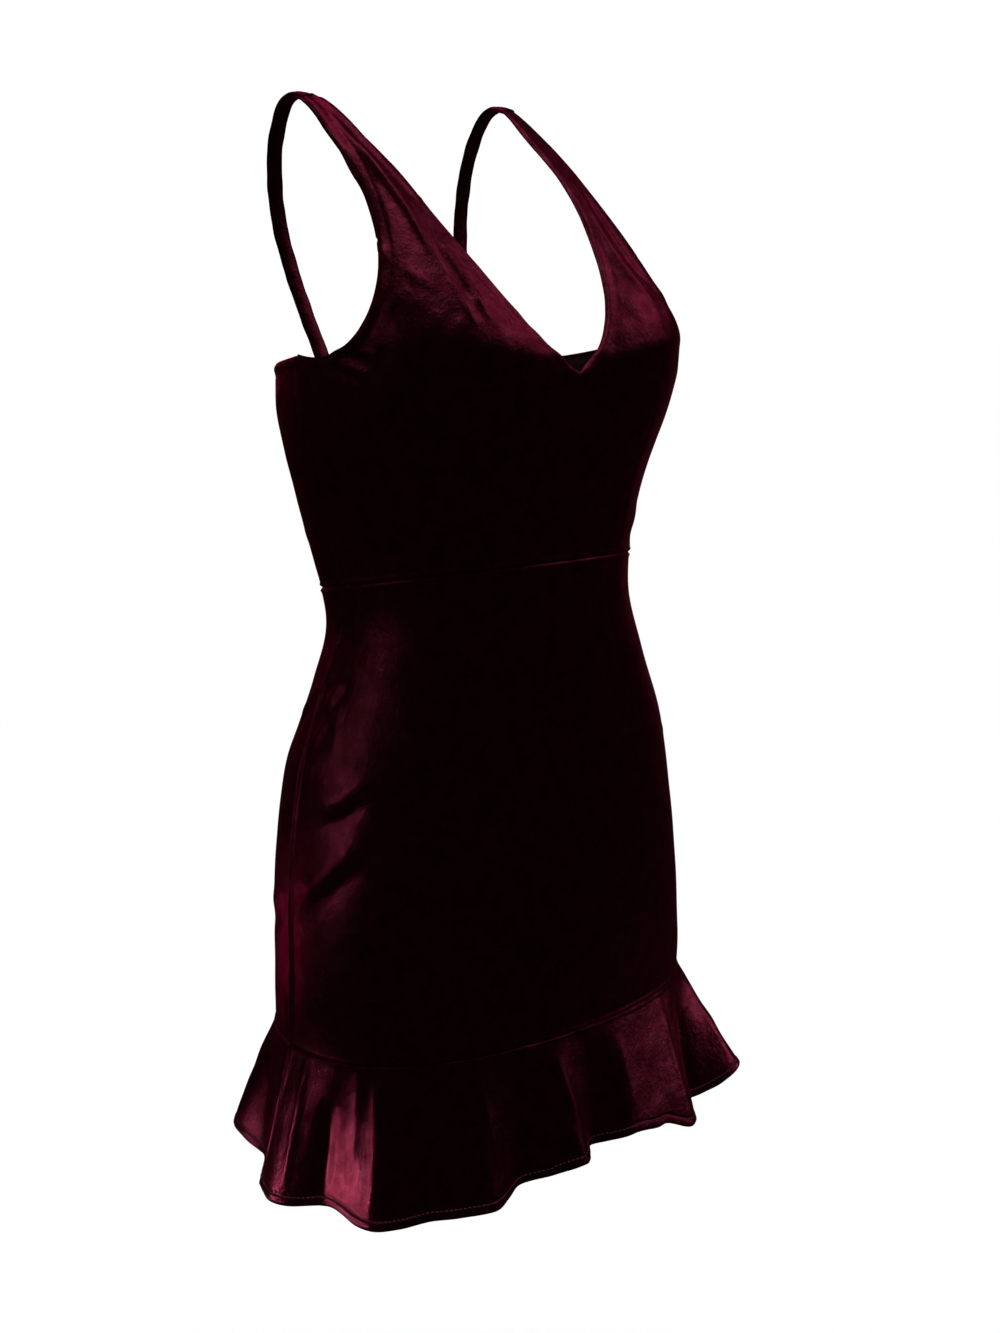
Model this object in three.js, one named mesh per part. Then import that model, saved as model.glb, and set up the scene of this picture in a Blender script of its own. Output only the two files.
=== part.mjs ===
// A fitted mini dress with a deep V neck, waist darts, narrow straps and a waved flounce.
// Sizes are in millimetres. X is the wearer's left, the front faces -Y and Z is up.
// The origin lies midway between the straps where they pass over the shoulders.
import * as THREE from "three";

const CLOTH = 1.6;
const SEAM_GAP = 0.3;
const WAIST_LEVEL = 344;
const FLOUNCE_LEVEL = 678;
const NECK_LEVEL = 216;
const UNDERARM_LEVEL = 182;
const RIGHT = -1;
const LEFT = 1;
const STEPS = { across: 28, bodice: 9, skirt: 11, flounce: 6, waves: 64 };

// The fitted shell as rings: how far each ring lies below the shoulders and its middle
// in front of them, its backward lean in degrees, its half sizes, how square its front is,
// the dip between the cups, and how far the side seam lies behind the ring's middle.
const RINGS = [
  { level: 130, ahead: 56, lean: 10.6, half: 138, front: 110, back: 83, square: 2.5, dip: 8, seam: 0 },
  { level: 160, ahead: 62, lean: 10.6, half: 144, front: 127, back: 84, square: 2.75, dip: 8, seam: 0 },
  { level: 190, ahead: 69, lean: 10.6, half: 147, front: 138, back: 84, square: 2.85, dip: 8, seam: 0 },
  { level: 216, ahead: 73, lean: 10.6, half: 148, front: 138, back: 85, square: 2.8, dip: 9, seam: -2 },
  { level: 245, ahead: 75, lean: 10.6, half: 145, front: 127, back: 87, square: 2.6, dip: 4, seam: -4 },
  { level: 271, ahead: 75, lean: 10.6, half: 138, front: 113, back: 88, square: 2.5, dip: 1, seam: -6 },
  { level: 311, ahead: 76, lean: 10.6, half: 129, front: 104, back: 87, square: 2.35, dip: 0, seam: -8 },
  { level: 344, ahead: 79, lean: 10.6, half: 122, front: 100, back: 85, square: 2.3, dip: 0, seam: -9 },
  { level: 371, ahead: 82, lean: 9.7, half: 120, front: 99, back: 86, square: 2.25, dip: 0, seam: 5 },
  { level: 411, ahead: 85, lean: 8.5, half: 132, front: 99, back: 95, square: 2.25, dip: 0, seam: 12 },
  { level: 471, ahead: 87, lean: 6.5, half: 154, front: 103, back: 113, square: 2.25, dip: 0, seam: 13 },
  { level: 531, ahead: 88, lean: 4.5, half: 165, front: 105, back: 120, square: 2.25, dip: 0, seam: 12 },
  { level: 591, ahead: 91, lean: 2.5, half: 171, front: 105, back: 120, square: 2.25, dip: 0, seam: 10 },
  { level: 651, ahead: 93, lean: 0.8, half: 174, front: 104, back: 118, square: 2.25, dip: 0, seam: 8 },
  { level: 711, ahead: 92, lean: 0, half: 175, front: 102, back: 118, square: 2.25, dip: 0, seam: 8 },
];

// The front above the underarm: pairs of points on the neckline and on the armhole edge,
// from the V point and the underarm up to the shoulder; full swells the cloth between them.
const YOKE = [
  { neck: { side: 0, ahead: 199, level: 191.5 }, arm: { side: 146, ahead: 67, level: 182 }, full: 1 },
  { neck: { side: 8, ahead: 198, level: 186 }, arm: { side: 146, ahead: 88, level: 182.5 }, full: 0.96 },
  { neck: { side: 15, ahead: 197, level: 180 }, arm: { side: 146, ahead: 106, level: 181 }, full: 0.9 },
  { neck: { side: 22, ahead: 194, level: 174 }, arm: { side: 145, ahead: 123, level: 175 }, full: 0.81 },
  { neck: { side: 30, ahead: 189, level: 165 }, arm: { side: 141, ahead: 134, level: 165 }, full: 0.75 },
  { neck: { side: 40, ahead: 180, level: 151 }, arm: { side: 135, ahead: 140, level: 151 }, full: 0.66 },
  { neck: { side: 50, ahead: 165, level: 131 }, arm: { side: 124, ahead: 135, level: 131 }, full: 0.57 },
  { neck: { side: 58, ahead: 147, level: 111 }, arm: { side: 116, ahead: 125, level: 111 }, full: 0.52 },
  { neck: { side: 65, ahead: 127, level: 91 }, arm: { side: 110, ahead: 110, level: 91 }, full: 0.44 },
  { neck: { side: 70, ahead: 107, level: 71 }, arm: { side: 105, ahead: 92, level: 71 }, full: 0.38 },
  { neck: { side: 74, ahead: 82, level: 50 }, arm: { side: 102, ahead: 72, level: 51 }, full: 0.34 },
  { neck: { side: 76, ahead: 54, level: 31 }, arm: { side: 101, ahead: 46, level: 31 }, full: 0.3 },
  { neck: { side: 78, ahead: 36, level: 18 }, arm: { side: 99, ahead: 28, level: 18 }, full: 0.3 },
  { neck: { side: 82, ahead: 16, level: 5 }, arm: { side: 98, ahead: 12, level: 6 }, full: 0.3 },
  { neck: { side: 84, ahead: 2, level: 0 }, arm: { side: 98, ahead: 0, level: 1 }, full: 0.3 },
];

// The strap's middle line from the shoulder over and down to the back's top edge.
const STRAP_PATH = [
  { side: 91, ahead: -1, level: 0.5 },
  { side: 92, ahead: -14, level: 0.5 },
  { side: 92, ahead: -27, level: 7 },
  { side: 91, ahead: -40, level: 26 },
  { side: 89, ahead: -48, level: 52 },
  { side: 85, ahead: -49, level: 90 },
  { side: 79, ahead: -37, level: 135 },
  { side: 72, ahead: -11, level: 192 },
];
const STRAP = { wide: 13, thick: 5, steps: 18, around: 10 };

// Each dart runs up from the waist seam to just below the bust.
const DART = { turn: 31, top: 245, deep: 1.4 };

// Ridges and hollows of the flounce, by the turn in degrees from the centre front towards
// the wearer's left: how far each stands out at the hem, leans along it and is lifted.
const WAVES = [
  { turn: -172, out: 12, lean: 0, lift: 6 },
  { turn: -155, out: 36, lean: 0, lift: 6 },
  { turn: -138, out: 14, lean: 0, lift: 7 },
  { turn: -118, out: 35, lean: 0, lift: 10 },
  { turn: -103, out: 15, lean: 0, lift: 5 },
  { turn: -86, out: 36, lean: 0, lift: -8 },
  { turn: -68, out: 12, lean: -5, lift: -2 },
  { turn: -52, out: 32, lean: -7, lift: -12 },
  { turn: -40, out: 22, lean: 0, lift: -10 },
  { turn: -28, out: 32, lean: 5, lift: -8 },
  { turn: -15, out: 8, lean: 5, lift: -2 },
  { turn: -4, out: 30, lean: 7, lift: 6 },
  { turn: 4, out: 4, lean: 3, lift: 6 },
  { turn: 13, out: 22, lean: 0, lift: 10 },
  { turn: 24, out: 22, lean: 0, lift: 4 },
  { turn: 36, out: 30, lean: 3, lift: -12 },
  { turn: 49, out: 14, lean: 0, lift: -6 },
  { turn: 65, out: 56, lean: 0, lift: -6 },
  { turn: 84, out: 14, lean: 0, lift: 0 },
  { turn: 104, out: 38, lean: 0, lift: 4 },
  { turn: 121, out: 14, lean: 0, lift: 5 },
  { turn: 138, out: 38, lean: 0, lift: 6 },
  { turn: 155, out: 13, lean: 0, lift: 6 },
  { turn: 172, out: 35, lean: 0, lift: 6 },
];
const FLOUNCE_DEEP = 103;

const degrees = (angle) => (angle * Math.PI) / 180;
const mix = (from, to, share) => from + (to - from) * share;
const range = (count) => Array.from({ length: count + 1 }, (_, i) => i / count);

// A smooth curve through four evenly placed values, between the second and the third.
function curve(before, from, to, after, share) {
  const rise = (to - before) / 2;
  const fall = (after - from) / 2;
  const s2 = share * share;
  const s3 = s2 * share;
  return (
    from * (2 * s3 - 3 * s2 + 1) +
    rise * (s3 - 2 * s2 + share) +
    to * (3 * s2 - 2 * s3) +
    fall * (s3 - s2)
  );
}

// Reads every named column of a table at a place counted in rows.
function readRows(rows, place) {
  const last = rows.length - 1;
  const low = Math.min(Math.max(Math.floor(place), 0), last - 1);
  const at = (i) => rows[Math.min(Math.max(i, 0), last)];
  const row = {};
  for (const name of Object.keys(rows[0])) {
    const four = [at(low - 1), at(low), at(low + 1), at(low + 2)].map((r) => r[name]);
    row[name] = curve(...four, place - low);
  }
  return row;
}

// The ring at a level, read from the ring table.
function ringAt(level) {
  let low = 0;
  while (low < RINGS.length - 2 && RINGS[low + 1].level < level) low += 1;
  const span = RINGS[low + 1].level - RINGS[low].level;
  return readRows(RINGS, low + (level - RINGS[low].level) / span);
}

const power = (value, exponent) => Math.sign(value) * Math.abs(value) ** exponent;

// A point of the fitted shell: turn is the angle from the centre front, in radians.
function onRing(level, turn) {
  const ring = ringAt(level);
  const ahead = Math.cos(turn);
  const bend = 2 / ring.square;
  const side = ring.half * power(Math.sin(turn), bend);
  const dip = ahead > 0 ? ring.dip * Math.exp(-((side / 42) ** 2)) : 0;
  const depth = (ahead > 0 ? ring.front : ring.back) * power(ahead, bend) - dip;
  const lean = degrees(ring.lean);
  return new THREE.Vector3(
    side,
    -ring.ahead - depth * Math.cos(lean),
    -level + depth * Math.sin(lean),
  );
}

// The turn of the side seam at a level.
function seamTurn(level) {
  const ring = ringAt(level);
  const depth = ring.seam > 0 ? ring.back : ring.front;
  return Math.PI / 2 + power(ring.seam / depth, ring.square / 2);
}

// A surface of points and four-sided faces, given cloth thickness as one closed solid.
class Surface {
  constructor() {
    this.points = [];
    this.given = [];
    this.faces = [];
  }

  add(point, normal) {
    this.points.push(point);
    this.given.push(normal);
    return this.points.length - 1;
  }

  // Joins a grid of point numbers with faces; the flag turns their outer side round.
  join(grid, flip) {
    for (let i = 0; i + 1 < grid.length; i += 1) {
      for (let j = 0; j + 1 < grid[i].length; j += 1) {
        const face = [grid[i][j], grid[i][j + 1], grid[i + 1][j + 1], grid[i + 1][j]];
        this.faces.push(flip ? face.reverse() : face);
      }
    }
  }

  triangles() {
    const length = (a, b) => this.points[a].distanceTo(this.points[b]);
    return this.faces.flatMap(([a, b, c, d]) =>
      length(a, c) < length(b, d)
        ? [[a, b, c], [a, c, d]]
        : [[a, b, d], [b, c, d]],
    );
  }

  normals(triangles) {
    const sums = this.points.map(() => new THREE.Vector3());
    for (const triangle of triangles) {
      const [a, b, c] = triangle.map((i) => this.points[i]);
      const normal = b.clone().sub(a).cross(c.clone().sub(a));
      for (const i of triangle) sums[i].add(normal);
    }
    return sums.map((sum, i) => this.given[i] ?? sum.normalize());
  }

  solid(name, thickness) {
    const triangles = this.triangles();
    const normals = this.normals(triangles);
    const count = this.points.length;
    const inner = this.points.map((p, i) => p.clone().addScaledVector(normals[i], -thickness));
    const faces = [...triangles, ...triangles.map(([a, b, c]) => [a + count, c + count, b + count])];
    const edges = new Set(triangles.flatMap(([a, b, c]) => [`${a} ${b}`, `${b} ${c}`, `${c} ${a}`]));
    for (const edge of edges) {
      const [a, b] = edge.split(" ").map(Number);
      if (edges.has(`${b} ${a}`)) continue;
      faces.push([b, a, a + count], [b, a + count, b + count]);
    }
    return meshOf(name, [...this.points, ...inner], faces);
  }
}

// The outward normal of a surface function of level or share, and turn.
function normalAt(surfaceAt, down, turn, step) {
  const fall = surfaceAt(down + step, turn).sub(surfaceAt(down - step, turn));
  const along = surfaceAt(down, turn + 0.01).sub(surfaceAt(down, turn - 0.01));
  return fall.cross(along).normalize();
}

function meshOf(name, points, faces) {
  const geometry = new THREE.BufferGeometry();
  const flat = faces.flatMap((face) => face.flatMap((i) => points[i].toArray()));
  geometry.setAttribute("position", new THREE.Float32BufferAttribute(flat, 3));
  geometry.computeVertexNormals();
  const mesh = new THREE.Mesh(geometry, new THREE.MeshStandardMaterial({ color: 0x4a1026 }));
  mesh.name = name;
  return mesh;
}

// Moves each inner point of a grid towards the middle of its four neighbours.
function soften(grid, passes) {
  for (let pass = 0; pass < passes; pass += 1) {
    const before = grid.map((row) => row.map((point) => point.clone()));
    for (let i = 1; i + 1 < grid.length; i += 1) {
      for (let j = 1; j + 1 < grid[i].length; j += 1) {
        const middle = new THREE.Vector3()
          .add(before[i - 1][j])
          .add(before[i + 1][j])
          .add(before[i][j - 1])
          .add(before[i][j + 1])
          .divideScalar(4);
        grid[i][j].lerp(middle, 0.5);
      }
    }
  }
}

// The lower front of one side: rows from the waist seam up to the V point and underarm.
function lowerFront(hand, steps) {
  const waist = WAIST_LEVEL - SEAM_GAP / 2;
  return range(steps.down).map((up) =>
    range(steps.across).map((across) => {
      const level = mix(waist, mix(NECK_LEVEL, UNDERARM_LEVEL, across), up);
      const side = seamTurn(level) - SEAM_GAP / 2 / ringAt(level).front;
      return onRing(level, hand * across * side);
    }),
  );
}

// The upper front of one side, whose rows swell like the topmost row of the lower front.
function upperFront(hand, steps, lowest) {
  const base = new RowShape(lowest);
  const rows = YOKE.map(({ neck, arm, full }) => ({
    neckSide: neck.side,
    neckAhead: neck.ahead,
    neckLevel: neck.level,
    armSide: arm.side,
    armAhead: arm.ahead,
    armLevel: arm.level,
    full,
  }));
  return range(steps.up)
    .slice(1)
    .map((up) => {
      const row = readRows(rows, up * (rows.length - 1));
      const neck = new THREE.Vector3(hand * row.neckSide, -row.neckAhead, -row.neckLevel);
      const arm = new THREE.Vector3(hand * row.armSide, -row.armAhead, -row.armLevel);
      return base.between(neck, arm, row.full);
    });
}

// The shape of one row of points, kept relative to the line between its two ends.
class RowShape {
  constructor(points) {
    const { along, out, length } = RowShape.frame(points[0], points.at(-1));
    this.offsets = points.map((point, i) => {
      const share = i / (points.length - 1);
      const moved = point.clone().sub(points[0].clone().lerp(points.at(-1), share));
      return {
        share,
        along: moved.dot(along) / length,
        out: moved.dot(out) / length,
        rise: moved.z / length,
      };
    });
  }

  static frame(start, end) {
    const along = end.clone().sub(start);
    const length = along.length();
    along.setZ(0).normalize();
    const out = new THREE.Vector3(along.y, -along.x, 0).multiplyScalar(Math.sign(end.x));
    return { along, out, length };
  }

  between(start, end, full) {
    const { along, out, length } = RowShape.frame(start, end);
    return this.offsets.map((offset) =>
      start
        .clone()
        .lerp(end, offset.share)
        .addScaledVector(along, offset.along * length * full)
        .addScaledVector(out, offset.out * length * full)
        .setZ(mix(start.z, end.z, offset.share) + offset.rise * length * full),
    );
  }
}

// Presses the dart line of one side in by its depth, less towards its upper end.
function pressDart(grid, column) {
  for (const row of grid) {
    const point = row[column];
    const rise = (DART.top + point.z) / (DART.top - WAIST_LEVEL);
    const share = Math.min(Math.max(rise, 0), 1);
    const inward = new THREE.Vector3(-point.x * 0.4, 60, 0).normalize();
    point.addScaledVector(inward, DART.deep * share);
  }
}

function frontBodice() {
  const steps = { across: STEPS.across / 2, down: STEPS.bodice, up: 20 };
  const surface = new Surface();
  const centre = [];
  for (const hand of [RIGHT, LEFT]) {
    const lower = lowerFront(hand, steps);
    const grid = [...lower, ...upperFront(hand, steps, lower.at(-1))];
    soften(grid, 6);
    pressDart(lower, Math.round((steps.across * DART.turn) / 90));
    const numbers = grid.map((row, i) =>
      row.map((point, j) => {
        if (j > 0 || i > steps.down) return surface.add(point);
        if (hand === RIGHT) centre[i] = surface.add(point);
        return centre[i];
      }),
    );
    surface.join(numbers, hand === RIGHT);
  }
  return surface.solid("front_bodice", CLOTH);
}

// A piece of the fitted shell between two levels, from one side seam round to the other.
function ringPiece(name, piece) {
  const surface = new Surface();
  const grid = range(piece.down).map((down) => {
    const row = range(STEPS.across).map((across) => {
      const level = mix(piece.top, piece.bottom, down);
      const ring = ringAt(level);
      const half = piece.back
        ? Math.PI - seamTurn(level) - SEAM_GAP / 2 / ring.back
        : seamTurn(level) - SEAM_GAP / 2 / ring.front;
      const turn = mix(-half, half, across) + (piece.back ? Math.PI : 0);
      return surface.add(onRing(level, turn), normalAt(onRing, level, turn, 2));
    });
    return row;
  });
  surface.join(grid, true);
  return surface.solid(name, CLOTH);
}

// The flounce's wave at a turn: ridges and hollows eased into each other.
function waveAt(turn) {
  const angle = (((turn * 180) / Math.PI + 172 + 720) % 360) - 172;
  const rows = [...WAVES, { ...WAVES[0], turn: WAVES[0].turn + 360 }];
  const low = rows.findLastIndex((row) => row.turn <= angle);
  const [from, to] = [rows[low], rows[low + 1]];
  const share = (angle - from.turn) / (to.turn - from.turn);
  const ease = (1 - Math.cos(Math.PI * share)) / 2;
  return {
    out: mix(from.out, to.out, ease),
    lean: mix(from.lean, to.lean, ease),
    lift: mix(from.lift, to.lift, ease),
  };
}

// A point of the flounce, from its seam at share 0 down to its hem at share 1.
function onFlounce(share, turn) {
  const down = Math.max(share, 0);
  const top = onRing(FLOUNCE_LEVEL, turn);
  const step = 0.01;
  const along = onRing(FLOUNCE_LEVEL, turn + step).sub(onRing(FLOUNCE_LEVEL, turn - step));
  along.setZ(0).normalize();
  const out = new THREE.Vector3(along.y, -along.x, 0);
  const wave = waveAt(turn);
  const hang = Math.sqrt(FLOUNCE_DEEP ** 2 - wave.out ** 2) - wave.lift;
  return top
    .addScaledVector(out, wave.out * down ** 1.15)
    .addScaledVector(along, wave.lean * down ** 2)
    .add(new THREE.Vector3(0, 0, -SEAM_GAP / 2 - hang * down));
}

function flouncePiece(name, back) {
  const surface = new Surface();
  const seam = seamTurn(FLOUNCE_LEVEL);
  const half = (back ? Math.PI - seam : seam) - SEAM_GAP / 2 / 130;
  const grid = range(STEPS.flounce).map((down) =>
    range(STEPS.waves).map((across) => {
      const turn = mix(-half, half, across) + (back ? Math.PI : 0);
      return surface.add(onFlounce(down, turn), normalAt(onFlounce, down, turn, 0.01));
    }),
  );
  surface.join(grid, true);
  return surface.solid(name, CLOTH);
}

// One strap as a flat rolled tube along its path.
function strap(name, hand) {
  const points = [];
  const faces = [];
  const place = (share) => {
    const row = readRows(STRAP_PATH, share * (STRAP_PATH.length - 1));
    return new THREE.Vector3(hand * row.side, -row.ahead, -row.level);
  };
  const across = new THREE.Vector3(1, 0, 0);
  for (const share of range(STRAP.steps)) {
    const middle = place(share);
    const along = place(share + 0.01).sub(place(share - 0.01)).normalize();
    const wide = across.clone().addScaledVector(along, -along.x).normalize();
    const thick = along.clone().cross(wide);
    for (let k = 0; k < STRAP.around; k += 1) {
      const angle = (2 * Math.PI * k) / STRAP.around;
      points.push(
        middle
          .clone()
          .addScaledVector(wide, (STRAP.wide / 2) * Math.cos(angle))
          .addScaledVector(thick, (STRAP.thick / 2) * Math.sin(angle)),
      );
    }
  }
  const at = (i, k) => i * STRAP.around + (k % STRAP.around);
  for (let k = 0; k < STRAP.around; k += 1) {
    for (let i = 0; i < STRAP.steps; i += 1) {
      faces.push([at(i, k), at(i, k + 1), at(i + 1, k + 1)], [at(i, k), at(i + 1, k + 1), at(i + 1, k)]);
    }
    if (k > 1) {
      faces.push([at(0, 0), at(0, k), at(0, k - 1)]);
      faces.push([at(STRAP.steps, 0), at(STRAP.steps, k - 1), at(STRAP.steps, k)]);
    }
  }
  return meshOf(name, points, faces);
}

const upper = { top: UNDERARM_LEVEL, bottom: WAIST_LEVEL - SEAM_GAP / 2, down: STEPS.bodice };
const skirt = { top: WAIST_LEVEL + SEAM_GAP / 2, bottom: FLOUNCE_LEVEL - SEAM_GAP / 2, down: STEPS.skirt };

const dress = new THREE.Group();
dress.add(
  frontBodice(),
  ringPiece("back_bodice", { ...upper, back: true }),
  strap("strap_right", RIGHT),
  strap("strap_left", LEFT),
  ringPiece("skirt_front", { ...skirt, back: false }),
  ringPiece("skirt_back", { ...skirt, back: true }),
  flouncePiece("flounce_front", false),
  flouncePiece("flounce_back", true),
);

export default dress;
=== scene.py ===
import math
from collections import namedtuple

import bpy
import numpy as np
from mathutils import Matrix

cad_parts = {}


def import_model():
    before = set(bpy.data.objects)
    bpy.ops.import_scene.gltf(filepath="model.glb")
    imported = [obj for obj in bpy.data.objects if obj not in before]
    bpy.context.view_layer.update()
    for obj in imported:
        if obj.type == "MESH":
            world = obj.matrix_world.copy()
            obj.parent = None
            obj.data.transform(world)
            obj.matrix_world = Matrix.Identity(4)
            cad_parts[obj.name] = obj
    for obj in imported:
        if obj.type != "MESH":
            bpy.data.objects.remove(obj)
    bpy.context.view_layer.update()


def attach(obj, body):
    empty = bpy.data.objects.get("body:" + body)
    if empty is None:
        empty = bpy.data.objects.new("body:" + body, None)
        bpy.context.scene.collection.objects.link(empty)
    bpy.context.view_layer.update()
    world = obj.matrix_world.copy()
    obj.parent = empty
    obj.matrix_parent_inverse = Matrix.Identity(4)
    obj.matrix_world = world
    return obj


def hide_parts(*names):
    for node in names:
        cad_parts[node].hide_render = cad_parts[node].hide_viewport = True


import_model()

# A fitted velvet mini dress in its worn hollow form, with a waved flounce at the hem.
# Tables are in millimetres; the points of meshes, lights and the camera are in metres.
# X is the wearer's left, the front faces -Y, Z is up, and the origin lies midway between
# the straps where they pass over the shoulders.

MM = 0.001

# The thickness of the cloth, the levels of its seams and edges below the shoulders, and
# the flounce's depth. At a seam the cloth is shifted a little off the seam's level, and
# the flounce is raised, so that no gap shows through. The dip between the cups has a
# half width.
CLOTH = 1.5
WAIST_LEVEL = 344
FLOUNCE_LEVEL = 678
NECK_LEVEL = 216
UNDERARM_LEVEL = 182
FLOUNCE_DEEP = 103
SEAM_SHIFT = 0.15
FLOUNCE_RAISE = 0.5
DIP_WIDTH = 42
RIGHT = -1
LEFT = 1

# The fitted shell as rings, the same as the solids: how far each lies below the
# shoulders and its middle in front of them, its backward lean in degrees, its half
# sizes, how square it is, the dip between the cups, and the side seam's place.
Ring = namedtuple("Ring", "level ahead lean half front back square dip seam")
RINGS = [
    Ring(130, 56, 10.6, 138, 110, 83, 2.5, 8, 0),
    Ring(160, 62, 10.6, 144, 127, 84, 2.75, 8, 0),
    Ring(190, 69, 10.6, 147, 138, 84, 2.85, 8, 0),
    Ring(216, 73, 10.6, 148, 138, 85, 2.8, 9, -2),
    Ring(245, 75, 10.6, 145, 127, 87, 2.6, 4, -4),
    Ring(271, 75, 10.6, 138, 113, 88, 2.5, 1, -6),
    Ring(311, 76, 10.6, 129, 104, 87, 2.35, 0, -8),
    Ring(344, 79, 10.6, 122, 100, 85, 2.3, 0, -9),
    Ring(371, 82, 9.7, 120, 99, 86, 2.25, 0, 5),
    Ring(411, 85, 8.5, 132, 99, 95, 2.25, 0, 12),
    Ring(471, 87, 6.5, 154, 103, 113, 2.25, 0, 13),
    Ring(531, 88, 4.5, 165, 105, 120, 2.25, 0, 12),
    Ring(591, 91, 2.5, 171, 105, 120, 2.25, 0, 10),
    Ring(651, 93, 0.8, 174, 104, 118, 2.25, 0, 8),
    Ring(711, 92, 0, 175, 102, 118, 2.25, 0, 8),
]

# The front above the underarm, as in the solids: points on the neckline and on the
# armhole edge, from the V point up to the shoulder, and how much the cloth swells.
Yoke = namedtuple("Yoke", "neck_side neck_ahead neck_level arm_side arm_ahead arm_level full")
YOKE = [
    Yoke(0, 199, 191.5, 146, 67, 182, 1),
    Yoke(8, 198, 186, 146, 88, 182.5, 0.96),
    Yoke(15, 197, 180, 146, 106, 181, 0.9),
    Yoke(22, 194, 174, 145, 123, 175, 0.81),
    Yoke(30, 189, 165, 141, 134, 165, 0.75),
    Yoke(40, 180, 151, 135, 140, 151, 0.66),
    Yoke(50, 165, 131, 124, 135, 131, 0.57),
    Yoke(58, 147, 111, 116, 125, 111, 0.52),
    Yoke(65, 127, 91, 110, 110, 91, 0.44),
    Yoke(70, 107, 71, 105, 92, 71, 0.38),
    Yoke(74, 82, 50, 102, 72, 51, 0.34),
    Yoke(76, 54, 31, 101, 46, 31, 0.3),
    Yoke(78, 36, 18, 99, 28, 18, 0.3),
    Yoke(82, 16, 5, 98, 12, 6, 0.3),
    Yoke(84, 2, 0, 98, 0, 1, 0.3),
]

# The coarse grid of half the front: its steps, how often it is softened, and how wide
# the sharp corner at the V point stays, as a share of the row.
YOKE_STEPS = {"across": 14, "down": 9, "up": 20}
SOFTEN_PASSES = 6
CORNER_WIDE = 0.07

# The strap's middle line from the shoulder over and down to the back's top edge.
Place = namedtuple("Place", "side ahead level")
STRAP_PATH = [
    Place(91, 5, 2.8),
    Place(91, -3, 1.0),
    Place(92, -14, 0.5),
    Place(92, -27, 7),
    Place(91, -40, 26),
    Place(89, -48, 52),
    Place(85, -49, 90),
    Place(79, -37, 135),
    Place(72, -11, 192),
    Place(71, -7.5, 202),
]

# The strap's width and thickness, its steps along and round, and its wall.
STRAP = {"wide": 13, "thick": 5, "steps": 150, "around": 48, "wall": 1.0}

# Ridges and hollows of the flounce by the turn in degrees: how far out, aside and up the
# hem lies. From -68 to -28 they reach up to 8 mm further out than in the solids.
Wave = namedtuple("Wave", "turn out lean lift")
WAVES = [
    Wave(-172, 12, 0, 6),
    Wave(-155, 36, 0, 6),
    Wave(-138, 14, 0, 7),
    Wave(-118, 35, 0, 10),
    Wave(-103, 15, 0, 5),
    Wave(-86, 36, 0, -8),
    Wave(-68, 20, -5, -2),
    Wave(-52, 40, -7, -12),
    Wave(-40, 24, 0, -10),
    Wave(-28, 34, 5, -8),
    Wave(-15, 8, 5, -2),
    Wave(-4, 30, 7, 6),
    Wave(4, 4, 3, 6),
    Wave(13, 22, 0, 10),
    Wave(24, 22, 0, 4),
    Wave(36, 30, 3, -12),
    Wave(49, 14, 0, -6),
    Wave(65, 56, 0, -6),
    Wave(84, 14, 0, 0),
    Wave(104, 38, 0, 4),
    Wave(121, 14, 0, 5),
    Wave(138, 38, 0, 6),
    Wave(155, 13, 0, 6),
    Wave(172, 35, 0, 6),
]

# The size each piece is cut to in metres, and its flat area in square metres.
Cut = namedtuple("Cut", "width length area")


def smooth(places, values, at):
    """Reads a smooth curve through values at places, along the first axis."""
    places = np.asarray(places, float)
    values = np.asarray(values, float)
    at = np.asarray(at, float)
    slopes = np.gradient(values, places, axis=0)
    low = np.clip(np.searchsorted(places, at, side="right") - 1, 0, len(places) - 2)
    span = places[low + 1] - places[low]
    share = (at - places[low]) / span
    extra = (1,) * (values.ndim - 1)
    share = share.reshape(at.shape + extra)
    span = span.reshape(at.shape + extra)
    square, cube = share ** 2, share ** 3
    return (
        values[low] * (2 * cube - 3 * square + 1)
        + slopes[low] * span * (cube - 2 * square + share)
        + values[low + 1] * (3 * square - 2 * cube)
        + slopes[low + 1] * span * (cube - square)
    )


def mix(start, end, share):
    return start + (end - start) * share


def ease(share):
    """Rises from 0 to 1 with a level start and end."""
    share = np.clip(share, 0, 1)
    return share * share * (3 - 2 * share)


def bell(distance, place, wide):
    """A smooth bump of height 1 around a place."""
    return np.exp(-(((distance - place) / wide) ** 2))


def signed_power(value, exponent):
    return np.sign(value) * np.abs(value) ** exponent


def unit(vectors):
    length = np.linalg.norm(vectors, axis=-1, keepdims=True)
    return vectors / np.maximum(length, 1e-12)


RING_LEVELS = [ring.level for ring in RINGS]


def ring_at(level):
    """Every named column of the ring table at any number of levels."""
    return Ring(*(smooth(RING_LEVELS, column, level) for column in zip(*RINGS)))


def on_ring(level, turn):
    """Points of the fitted shell; turn is the angle from the centre front."""
    ring = ring_at(level)
    bend = 2 / ring.square
    ahead = np.cos(turn)
    side = ring.half * signed_power(np.sin(turn), bend)
    dip = np.where(ahead > 0, ring.dip * bell(side, 0, DIP_WIDTH), 0)
    depth = np.where(ahead > 0, ring.front, ring.back) * signed_power(ahead, bend) - dip
    lean = np.radians(ring.lean)
    forward = -ring.ahead - depth * np.cos(lean)
    return np.stack([side, forward, -level + depth * np.sin(lean)], axis=-1)


def seam_turn(level):
    """The turn of the side seam at a level."""
    ring = ring_at(level)
    depth = np.where(ring.seam > 0, ring.back, ring.front)
    return np.pi / 2 + signed_power(ring.seam / depth, ring.square / 2)


QUARTER_POINTS = 90


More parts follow.
